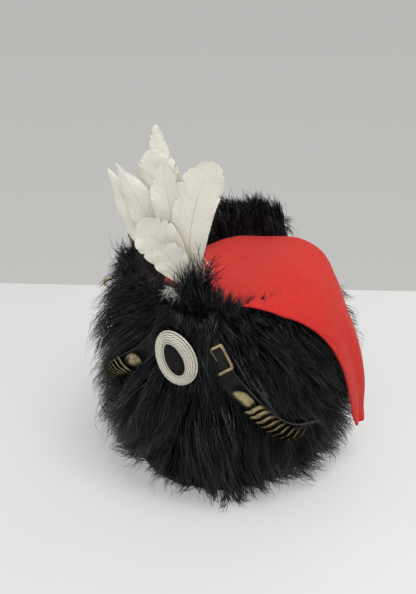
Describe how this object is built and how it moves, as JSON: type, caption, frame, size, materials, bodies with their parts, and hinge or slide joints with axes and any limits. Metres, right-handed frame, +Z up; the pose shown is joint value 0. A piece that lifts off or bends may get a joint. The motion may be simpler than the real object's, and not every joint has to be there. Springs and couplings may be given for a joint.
{
  "type": "fur busby with a cloth bag, a feather plume and a chin strap",
  "caption": "Tall oval black fur cap with a red cloth bag hanging over one side, a white feather plume, an oval corded boss and a buckled chin strap with brass scales.",
  "frame": {"origin": "on the floor, under the middle of the whole cap's box; the head oval's centre is 8.5 mm to the wearer's right of it", "axes": "+Z up, -Y the front of the cap, where the plume and the boss are, and +X the wearer's left, where the bag hangs"},
  "size_m": [0.2742, 0.2848, 0.3532],
  "materials": {
    "fur": "long glossy black fur with blue-grey lights",
    "hackle": "short stiff black feather barbs",
    "felt": "matt scarlet wool felt with a fine nap",
    "strap": "black satin leather with polished edges",
    "scale": "aged pale brass, dark in the hollows",
    "buckle": "worn pale brass",
    "hook": "bright brass wire",
    "stem": "dull brass",
    "boss_core": "matt black cloth",
    "boss_cord": "twisted off-white and silver cord",
    "feather": "white goose feather, ivory towards the quill"
  },
  "bodies": {
    "root": {"fur_body": "fur", "crown": "felt", "bag": "felt", "strap_tongue": "strap", "strap_scaled": "strap", "buckle_frame": "buckle", "buckle_prong": "buckle", "scale_left_end": "scale", "scale_left_1": "scale", "scale_left_2": "scale", "scale_left_3": "scale", "scale_left_4": "scale", "scale_left_5": "scale", "scale_left_6": "scale", "scale_left_7": "scale", "scale_left_8": "scale", "scale_left_9": "scale", "scale_right_end": "scale", "scale_right_1": "scale", "scale_right_2": "scale", "scale_right_3": "scale", "scale_right_4": "scale", "scale_right_5": "scale", "scale_right_6": "scale", "scale_right_7": "scale", "boss_core": "boss_core", "boss_cord_1": "boss_cord", "boss_cord_2": "boss_cord", "boss_cord_3": "boss_cord", "boss_cord_4": "boss_cord", "boss_cord_5": "boss_cord", "boss_cord_6": "boss_cord", "feather_front_short": "feather", "feather_front_broad": "feather", "feather_right_paddle": "feather", "feather_middle_front": "feather", "feather_left_inner": "feather", "feather_left_outer": "feather", "feather_middle_wide": "feather", "feather_middle_tall": "feather", "plume_stem": "stem", "hackle": "hackle", "side_hook": "hook"}
  },
  "joints": []
}
